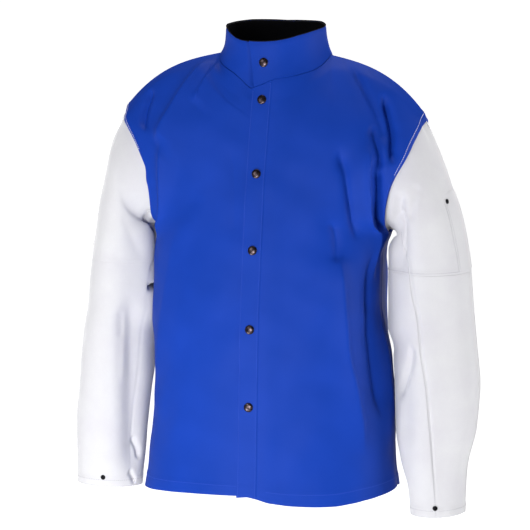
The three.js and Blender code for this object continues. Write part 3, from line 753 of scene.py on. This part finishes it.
collarCloth = dict(
    rimWidth=86, rimDepth=77, rimFront=25, rimSide=47, rimBack=52, rimCurve=1.4, stand=2.6, fromTurn=12, toTurn=-369,
    slant=8.7, lift=3.4, seamLift=0.35, liftFrom=318, liftTo=345, clear=1.3, wall=1.6, ripple=0.5,
    rippleSpan=(1.6, 60), rippleSize=60, seed=3, roll=0.9, drawn=4.0, degree=1.55, tuck=20, behind=3.2, below=1.5,
    forward=2.0, turns=230, heights=26)
collarInside = dict(wall=1.0, gap=0.4, top=1.01, trimHeight=0.03, trimTurn=1.5)
# how the rim hangs: turn and how far it stands above the drafted rim
rimHang = np.array([(-378, 0), (-345, 2.4), (-320, 4.4), (-300, 3.6), (-275, 0), (-262, 1), (-232, 2.8), (-205, 0.5),
                    (-180, -1), (-160, 0.5), (-138, 2.2), (-115, 2.2), (-97, 1.5), (-88, 1.5), (-80, 2), (-70, 2.2),
                    (-60, 2), (-55, 0.6), (-50, -0.2), (-46, -0.9), (-40, -2.2), (-30, -2.6), (-10, 0), (12, 2)], float)


# turn in degrees from the centre front towards the wearer's left, height 0 at the seam and 1 at the rim
def collarPoint(turn, height):
    k = collarCloth
    a = np.radians(turn)
    c = np.cos(a)
    seam = necklinePoint(np.abs(np.mod(turn + 180, 360) - 180))
    seamX = neck["halfWidth"] * np.sin(a)
    rimZ = mix(k["rimSide"], np.where(c > 0, k["rimFront"], k["rimBack"]), np.abs(c)**k["rimCurve"])
    lift = k["lift"] * ease(-turn, k["liftFrom"], k["liftTo"])
    rimZ = rimZ + hangAt(rimHang, turn)
    hang = np.where(c > 0, hangAt(neckHang, seamX), 0)
    seamZ = seam[..., 2] + k["clear"] + k["seamLift"] * lift + hang
    inward = 1 - np.maximum(1 - height, 0)**k["stand"]
    x = mix(seamX, k["rimWidth"] * np.sin(a), inward)
    y = mix(seam[..., 1], -k["rimDepth"] * c, inward)
    return stack(x + np.sin(a) * lift, y - c * lift, mix(seamZ, rimZ, height))


def collarSurface(turn, height):
    return collarPoint(turn, height), squareTo(collarPoint, turn, height, 1, 0.01, np.inf, -np.inf, 1)


def makeCollar(name, depth, wall, trimHeight, top, trimTurn):
    k = collarCloth
    along, height = np.meshgrid(np.linspace(0, 1, k["turns"]), np.linspace(trimHeight, top, k["heights"]))
    # the outer end leans as it rises
    turn = mix(k["fromTurn"] - trimTurn, k["toTurn"] + trimTurn - k["slant"] * height, along)
    points, outward = collarSurface(turn, height)
    spanX, spanZ = k["rippleSpan"]
    ripple = k["ripple"] * crumple(turn * spanX, height * spanZ, k["seed"], k["rippleSize"]) * np.sin(np.pi * height)
    roll = k["roll"] * ease(height, 0.9, 1.0)
    # the inner end is drawn in beside the edge of the outer one
    beside = (turn - (k["toTurn"] + 360 - k["slant"] * height)) * k["degree"]
    drawn = k["drawn"] * bell(beside, 0, np.where(beside < 0, 6, 4)) * ease(height, 0.0, 0.15)
    points = points + outward * (ripple - roll - depth - drawn)[..., None]
    if depth == 0:
        # the seam allowance turns in behind the neckline
        behind = points[:1] - outward[:1] * k["behind"]
        behind[..., 2] -= k["below"]
        front = np.maximum(0, np.cos(np.radians(turn[:1])))**2
        low = behind.copy()
        low[..., 2] -= 1 + k["tuck"] * front
        low[..., 1] -= k["forward"] * front
        points = np.r_[low, behind, points]
        outward = np.r_[outward[:1], outward[:1], outward]
    return clothGrid(name, points, outward, wall)


collar = dress(makeCollar("cloth_collar", 0, collarCloth["wall"], 0, 1, 0), cotton, "collar")
liningPiece = makeCollar("cloth_collar_lining", collarCloth["wall"] + collarInside["gap"], collarInside["wall"],
                         collarInside["trimHeight"], collarInside["top"], collarInside["trimTurn"])
collarLining = dress(liningPiece, lining, "collar_lining")
print("collar made")


# leather sleeves, pieced at the elbow, and the pen pocket

# degree is a degree round the arm in millimetres; the right sleeve's seams show less than the left one's
sleeveHide = dict(
    wall=2.0, seamGap={1: 0.4, -1: 0.15}, lapBand=7, lapRise={1: 0.45, -1: 0.15}, seamDip={1: -1.6, -1: -0.5},
    seamWide=2.4, hemBand=16, hemRise=0.5, slope=2, lower=3.0, lowerTo=(8, 110), dentsFrom=(6, 26), degree=1.25,
    foldGain=1.4, crest=0, crumple=0.6, crumpleSize=85, seeds={1: 12, -1: 10}, around=171, upperLevels=116,
    lowerLevels=130)

# folds of the sleeves: as on the fronts, with the place round the arm in degrees
sleeveFolds = {
    1: [
        (-3.0, 5, 5, [(96, -221), (114, -248), (133, -278)]),
        (-2.6, 5, 5, [(116, -245), (124, -275), (127, -306), (128, -340)]),
        (-2.0, 9, 9, [(70, -203), (94, -251), (106, -271)]),
        (-5.0, 25, 25, [(116, -190), (130, -285), (142, -380)]),
        (-5.0, 9, 9, [(119, -476), (118, -503), (138, -545), (159, -581)]),
        (-4.0, 27, 27, [(140, -440), (138, -550), (132, -660)]),
        (-5.0, 30, 30, [(-90, -300), (-85, -390), (-90, -480)]),
        (4.0, 24, 24, [(166, -470), (168, -560), (168, -650), (168, -740)]),
        (8.6, 28, 28, [(164, -285), (166, -330), (168, -400), (170, -440), (170, -500)]),
    ],
    -1: [
        (-7.0, 3.6, 2.6, [(131, -258), (143, -279), (154, -297), (176, -322)]),
        (-1.5, 2.5, 2.5, [(165, -349), (150, -378)]),
        (-10.0, 5.5, 4.5, [(146, -406), (160, -405), (190, -404)]),
        (1.2, 7, 10, [(115, -440), (116, -470), (116, -529), (118, -580)]),
        (-1.0, 9, 9, [(106, -440), (112, -498)]),
        (-8.0, 26, 26, [(122, -400), (132, -575), (146, -750)]),
        (-4.0, 6, 6, [(142, -673), (159, -697), (155, -714)]),
        (-4.0, 5, 5, [(136, -731), (151, -754)]),
        (-0.7, 9, 9, [(99, -270), (142, -358)]),
        (8.0, 26, 26, [(148, -255), (152, -300), (157, -400), (160, -490)]),
        (-5.0, 30, 30, [(-90, -300), (-85, -390), (-90, -480)]),
    ],
}
# front seam of each sleeve, in the same places
sleeveSeams = {
    1: [(138, -289), (133, -310), (120, -335), (115, -360), (110, -398), (104, -421), (101, -443), (100, -501),
        (94, -573), (85, -678), (80, -772)],
    -1: [(174, -315), (165, -349), (150, -378), (148, -440), (146, -560), (142, -673), (138, -758)],
}


def elbowLevel(side):
    return armKnots[side][elbowRow + 2]


# outer face of a sleeve, and its outward direction
def sleeveSurface(side, degrees, t):
    k = sleeveHide
    knots = armKnots[side]
    p = sleeveBase(side, degrees, t)
    z = p[..., 2]
    n = squareTo(lambda a, b: sleeveBase(side, a, b), degrees, t, 2, 2, np.inf, 0, knots[-1]) * side
    inField = ease(t, knots[1], knots[3])
    across = degrees * k["degree"]
    lines = sleeveFolds[side] + [(k["seamDip"][side], k["seamWide"], k["seamWide"], sleeveSeams[side])]
    # dents may run up to the armhole, ridges keep clear of it
    dents, ridges = (foldRise([fold for fold in lines if (fold[0] > 0) == up], k["foldGain"], k["degree"], across,
                              z, k["crest"]) for up in (False, True))
    # under the armhole's rolled edge the leather lies lower
    lift = -k["lower"] * (1 - ease(t, *k["lowerTo"]))
    lift += ease(t, *k["dentsFrom"]) * dents
    waves = crumple(across, z, k["seeds"][side], k["crumpleSize"])
    lift += inField * (ridges + k["crumple"] * waves)
    lap, hem = elbowLevel(side) - k["lapBand"], knots[-1] - k["hemBand"]
    lift += k["lapRise"][side] * ease(t, lap - k["slope"], lap) * (t < elbowLevel(side))
    lift += k["hemRise"] * ease(t, hem - k["slope"], hem)
    return p + n * lift[..., None], n


def makeSleeve(side, part):
    k = sleeveHide
    elbow, end = elbowLevel(side), armKnots[side][-1]
    gap = k["seamGap"][side] / 2
    # levels lie closer together at the lap and at the hem
    if part == "upper":
        levels = np.r_[np.linspace(0, elbow - 12, k["upperLevels"]), elbow - np.array([9.5, 8.2, 7, 4, 1, gap])]
    else:
        levels = np.r_[elbow + gap, elbow + 1.5, np.linspace(elbow + 5, end - 20, k["lowerLevels"]),
                       end - np.array([18, 16.8, 15.5, 12, 8, 4, 1, 0])]
    turn, t = np.meshgrid(np.linspace(-160, 200, k["around"]), levels)
    points, outward = sleeveSurface(side, turn, t)
    points[:, -1] = points[:, 0]
    return clothGrid(f"leather_sleeve_{sideName(side)}_{part}", points, outward, k["wall"], ring=True)


for side in (-1, 1):
    for part in ("upper", "lower"):
        node = f"sleeve_{sideName(side)}_{part}"
        dress(makeSleeve(side, part), leather, node)

penPocket = dict(fromTurn=-18, toTurn=36, topZ=-221, hem=4, wall=1.2, puff=0.5, gap=0.1, close=0.25, closeOver=16)


# level down a sleeve at which a height is reached, at a turn round the arm
def sleeveLevel(side, turn, z, count):
    t = np.linspace(0, armKnots[side][-1], count)
    return float(np.interp(-z, -sleeveBase(side, np.full(count, turn), t)[:, 2], t))


pocketTop = sleeveLevel(1, 0.0, penPocket["topZ"], 2000)
pocketBottom = float(elbowLevel(1)) - penPocket["hem"]


def pocketSurface(turn, t):
    k = penPocket
    p, n = sleeveSurface(1, turn, t)
    bulge = np.sin(np.pi * np.clip((turn - k["fromTurn"]) / (k["toTurn"] - k["fromTurn"]), 0, 1))
    puff = k["puff"] * bulge * (pocketBottom - t) / (pocketBottom - pocketTop)
    # its top edge lies close to the sleeve
    close = mix(k["close"], 1, ease(t, pocketTop, pocketTop + k["closeOver"]))
    return p + n * ((k["gap"] + k["wall"]) * close + puff)[..., None], n


def makePocket():
    first, last = penPocket["fromTurn"], penPocket["toTurn"]
    turns = np.r_[first, first + 0.6, np.linspace(first + 2, last - 2, 26), last - 0.6, last]
    levels = np.r_[pocketTop, pocketTop + 0.8, np.linspace(pocketTop + 3, pocketBottom, 48)]
    turn, t = np.meshgrid(turns, levels)
    points, outward = pocketSurface(turn, t)
    return clothGrid("leather_pen_pocket", points, outward, penPocket["wall"])


pocketPiece = dress(makePocket(), leather, "pen_pocket")
print("sleeves made")


# snap caps, cuff snaps and the pocket rivet

# insets from the rim inwards: how far in and how far up, in shares of the radius and of the height
capShape = dict(
    sides=28, wall=0.3, insets=[(0.05, 0.15), (0.07, 0.13), (0.11, 0.14), (0.15, 0.12), (0.2, 0.09), (0.22, 0.05)])
snapCap = dict(radius=7.9, height=3.0, lift=0.4, collarLift=0.6)
smallCap = dict(radius=4.4, height=1.8)
snapHeights = [-71, -192, -318, -449, -580]
cuffSnap = {1: 84, -1: 90, "rise": 17}
rivetPlace = dict(turn=30, down=7, sunk=0.4)


def makeCap(name, size, place, outward):
    radius, height = size["radius"] * mm, size["height"] * mm
    wall = capShape["wall"] * height
    cap = addNamed(name, bpy.ops.mesh.primitive_cylinder_add, vertices=capShape["sides"], radius=radius, depth=wall,
                   location=(0, 0, wall / 2))
    bpy.ops.object.transform_apply(location=True)
    bpy.context.tool_settings.mesh_select_mode = (False, False, True)
    for face in cap.data.polygons:
        face.select = face.normal.z > 0.9
    bpy.ops.object.mode_set(mode="EDIT")
    for inwards, upwards in capShape["insets"]:
        bpy.ops.mesh.inset(thickness=inwards * radius, depth=upwards * height)
    bpy.ops.mesh.poke()
    bpy.ops.object.mode_set(mode="OBJECT")
    applyModifier(cap, "SUBSURF", levels=1, render_levels=1)
    bpy.ops.object.shade_smooth_by_angle(angle=math.radians(70))
    cap.rotation_euler = Vector(outward).to_track_quat("Z", "Y").to_euler()
    cap.location = Vector(np.asarray(place) * mm)
    bpy.ops.object.transform_apply(location=True, rotation=True)
    return cap


# level on the middle line of the fronts at which a height is reached
def levelOnPlacket(z):
    t = np.linspace(0, knotsOf[True][-1], 3000)
    return float(np.interp(z, bodyBase(True, 1, np.zeros(3000), t)[:, 2], t))


# a cap that stands for its solid, at a place on a surface
def setCap(node, size, lift, material, slot, surface, *where):
    p, n = surface(*where[:-2], *(np.array([float(w)]) for w in where[-2:]))
    return dress(makeCap("cap_" + node, size, p[0] + n[0] * lift, n[0]), material, node)


nearMiddle = 0.0005  # just left of the middle line
caps = [setCap(f"snap_{k + 1}", snapCap, snapCap["lift"], gunmetal, "gunmetal", bodySurface, True, 1, nearMiddle,
               levelOnPlacket(z)) for k, z in enumerate(snapHeights)]
caps.append(setCap("snap_collar", snapCap, snapCap["collarLift"], gunmetal, "gunmetal", collarSurface, -360, 0.5))
smallCaps = {side: setCap("cuff_snap_" + sideName(side), smallCap, 0, blackMetal, "black_metal", sleeveSurface, side,
                          cuffSnap[side], armKnots[side][-1] - cuffSnap["rise"]) for side in (-1, 1)}
rivet = setCap("pocket_rivet", smallCap, -rivetPlace["sunk"], blackMetal, "black_metal", pocketSurface,
               rivetPlace["turn"], pocketTop + rivetPlace["down"])
print("caps made")


# sewn lines: one stitch, repeated along a curve that lies on the cloth

stitchShape = dict(pitch=3.6, long=2.8, thick=0.9, rise=0.05)


def sewLine(name, points):
    k = stitchShape
    points = np.asarray(points) * mm
    curve = bpy.data.curves.new(name + "_path", "CURVE")
    curve.dimensions = "3D"
    spline = curve.splines.new("POLY")
    spline.points.add(len(points) - 1)
    spline.points.foreach_set("co", np.c_[points, np.ones(len(points))].ravel())
    path = bpy.data.objects.new(name + "_path", curve)
    bpy.context.scene.collection.objects.link(path)
    length = stepLengths(points).sum()
    stitch = addNamed(name, bpy.ops.mesh.primitive_uv_sphere_add, segments=6, ring_count=4, radius=0.5 * mm)
    bpy.ops.transform.resize(value=(k["long"], k["thick"], k["thick"]))
    bpy.ops.transform.translate(value=(k["pitch"] / 2 * mm, 0, 0))
    bpy.ops.object.transform_apply(location=True, scale=True)
    applyModifier(stitch, "ARRAY", count=max(1, int(length / mm / k["pitch"])), use_relative_offset=False,
                  use_constant_offset=True, constant_offset_displace=(k["pitch"] * mm, 0, 0))
    applyModifier(stitch, "CURVE", object=path, deform_axis="POS_X")
    bpy.ops.object.shade_smooth()
    bpy.data.objects.remove(path)
    return stitch


def sewLines(name, lines, thread):
    sewn = [sewLine(name if k == 0 else f"{name}_{k}", line) for k, line in enumerate(lines)]
    pick(*sewn)
    if len(sewn) > 1:
        bpy.ops.object.join()
    return dress(sewn[0], thread)


# a line that lies on a surface, from that surface's two coordinates
def lineOn(surface, *where):
    p, n = surface(*where[:-2], *matched(*where[-2:]))
    return p + n * stitchShape["rise"]


# a line of places in degrees and heights, followed down a sleeve
def sleevePlaces(side, places):
    line = softLine(places)
    dense = np.stack([np.interp(np.linspace(0, len(line) - 1, 300), np.arange(len(line)), line[:, k])
                      for k in (0, 1)], 1)
    return dense[:, 0], np.array([sleeveLevel(side, turn, z, 400) for turn, z in dense])


# armhole is the share of the way to the side; below hidden the fold of the breast lies over the armhole seam
bandEdge = 1 - bodyCloth["edgeBand"]
sewing = dict(
    armhole={1: bandEdge + 0.01, -1: bandEdge + 0.003}, hidden={1: 118, -1: 145}, placket=13.2, flapEdge=-16.5,
    pocket=(-15.5, 33.5), besideSeam=2.6, hem=3, cuff=12, elbow=4, shoulder=5)
hemLevel = bodyCloth["hemBand"] - sewing["hem"]
frontTop, backTop = knotsOf[True][-1], knotsOf[False][-1]
frontArm, backArm = knotsOf[True][underarmRow], knotsOf[False][underarmRow]

for side in (-1, 1):
    share = sewing["armhole"][side]
    upFront = np.linspace(frontArm + sewing["hidden"][side], frontTop - 1, 220)
    front = lineOn(bodySurface, True, side, share, upFront)
    rear = lineOn(bodySurface, False, side, share, np.linspace(backTop - 1, backArm + 14, 220))
    sewLines("sewing_armhole_" + sideName(side), [np.r_[front, rear]], whiteThread)

upPlacket = np.linspace(2, frontTop - 3, 300)
leftLines = [lineOn(bodySurface, True, 1, shareOfX(upPlacket, sewing["placket"]), upPlacket),
             lineOn(bodySurface, True, 1, shareOfX(upPlacket, sewing["flapEdge"]), upPlacket),
             lineOn(bodySurface, True, 1, np.linspace(0.09, 0.99, 200), hemLevel)]
frontLeftSewing = sewLines("sewing_front_left", leftLines, blueThread)
rightLines = [lineOn(bodySurface, True, -1, np.linspace(0.0, 0.99, 200), hemLevel)]
frontRightSewing = sewLines("sewing_front_right", rightLines, blueThread)
hemBack = np.r_[lineOn(bodySurface, False, -1, np.linspace(0.99, 0.005, 150), hemLevel),
                lineOn(bodySurface, False, 1, np.linspace(0.005, 0.99, 150), hemLevel)]
overShoulder = np.linspace(neck["share"] + 0.02, 0.95, 120)
atShoulder = backTop - sewing["shoulder"]
backLines = [hemBack] + [lineOn(bodySurface, False, side, overShoulder, atShoulder) for side in (-1, 1)]
backSewing = sewLines("sewing_back", backLines, blueThread)

# the seams of the right sleeve show no stitches
around = np.linspace(-160, 200, 260)
downPocket = np.linspace(pocketTop + 3, pocketBottom - 2, 90)
for side in (-1, 1):
    lines = [lineOn(sleeveSurface, side, around, armKnots[side][-1] - sewing["cuff"])]
    if side > 0:
        seamTurn, seamLevel = sleevePlaces(side, sleeveSeams[side])
        lines.append(lineOn(sleeveSurface, side, around, elbowLevel(side) - sewing["elbow"]))
        lines.append(lineOn(sleeveSurface, side, seamTurn + sewing["besideSeam"], seamLevel))
        lines += [pocketSurface(np.full(90, turn), downPocket)[0] for turn in sewing["pocket"]]
    sewLines("sewing_sleeve_" + sideName(side), lines, greyThread)
print("sewing done")


# white paper floor, soft studio light and the camera

studio = dict(
    floorZ=-1.35, floorSize=90, cameraAt=(1.1724, -4.4481, 0.3799), lookAt=(-0.0032, -0.0607, -0.3566), lens=183,
    sensor=36, world=0.15, glowFrom=0.8, glowTo=1.5, glowLow=0.05, glowHigh=0.95)
# name, place, aim, width and power of each lamp
lamps = [
    ("lampKey", (-0.1, -2.8, -0.55), (0, 0, -0.5), 0.6, 47),
    ("lampTop", (0.1, 0.5, 1.9), (0, 0, -0.1), 1.4, 36),
    ("lampLow", (-0.6, -1.3, -1.2), (-0.18, -0.1, -0.65), 0.4, 11),
    ("lampHigh", (-1.3, -2.5, 0.8), (0, 0, -0.3), 0.9, 15),
    ("lampRight", (2.7, 0.2, -0.25), (0.3, 0, -0.5), 1.0, 40),
    ("lampLeft", (-2.6, 0.3, -0.35), (-0.3, 0, -0.45), 1.0, 5),
]


def aimAt(thing, target):
    thing.rotation_euler = (Vector(target) - thing.location).to_track_quat("-Z", "Y").to_euler()


def addLamp(name, place, target, size, power):
    lamp = addNamed(name, bpy.ops.object.light_add, type="AREA", location=place)
    lamp.data.size = size
    lamp.data.energy = power
    aimAt(lamp, target)


floor = addNamed("floor", bpy.ops.mesh.primitive_plane_add, size=studio["floorSize"],
                 location=(0, 0, studio["floorZ"]))
bpy.ops.object.transform_apply(location=True)
# matt paper sweep, lit behind the jacket until it reads as plain white
paper, paperTree, paperShader = newMaterial("whitePaper", "#f4f4f5", 0.9, 0.1, **{"Emission Color": (1, 1, 1, 1)})
paperPlace = addNode(paperTree, "ShaderNodeTexCoord")
paperAxes = addNode(paperTree, "ShaderNodeSeparateXYZ", None, {"Vector": paperPlace.outputs["Object"]})
glow = addNode(paperTree, "ShaderNodeMapRange", {
    "From Min": studio["glowFrom"], "From Max": studio["glowTo"], "To Min": studio["glowLow"],
    "To Max": studio["glowHigh"]}, {"Value": paperAxes.outputs["Y"]})
paperTree.links.new(glow.outputs["Result"], paperShader.inputs["Emission Strength"])
floor.data.materials.append(paper)

scene = bpy.context.scene
scene.view_settings.view_transform = "Standard"
world = bpy.data.worlds.new("studioLight")
world.use_nodes = True
sky = world.node_tree.nodes["Background"]
sky.inputs["Color"].default_value = (1, 1, 1, 1)
sky.inputs["Strength"].default_value = studio["world"]
scene.world = world
for lamp in lamps:
    addLamp(*lamp)

camera = addNamed("photoCamera", bpy.ops.object.camera_add, location=studio["cameraAt"])
camera.data.lens = studio["lens"]
camera.data.sensor_width = studio["sensor"]
aimAt(camera, studio["lookAt"])
scene.camera = camera
print("studio set")
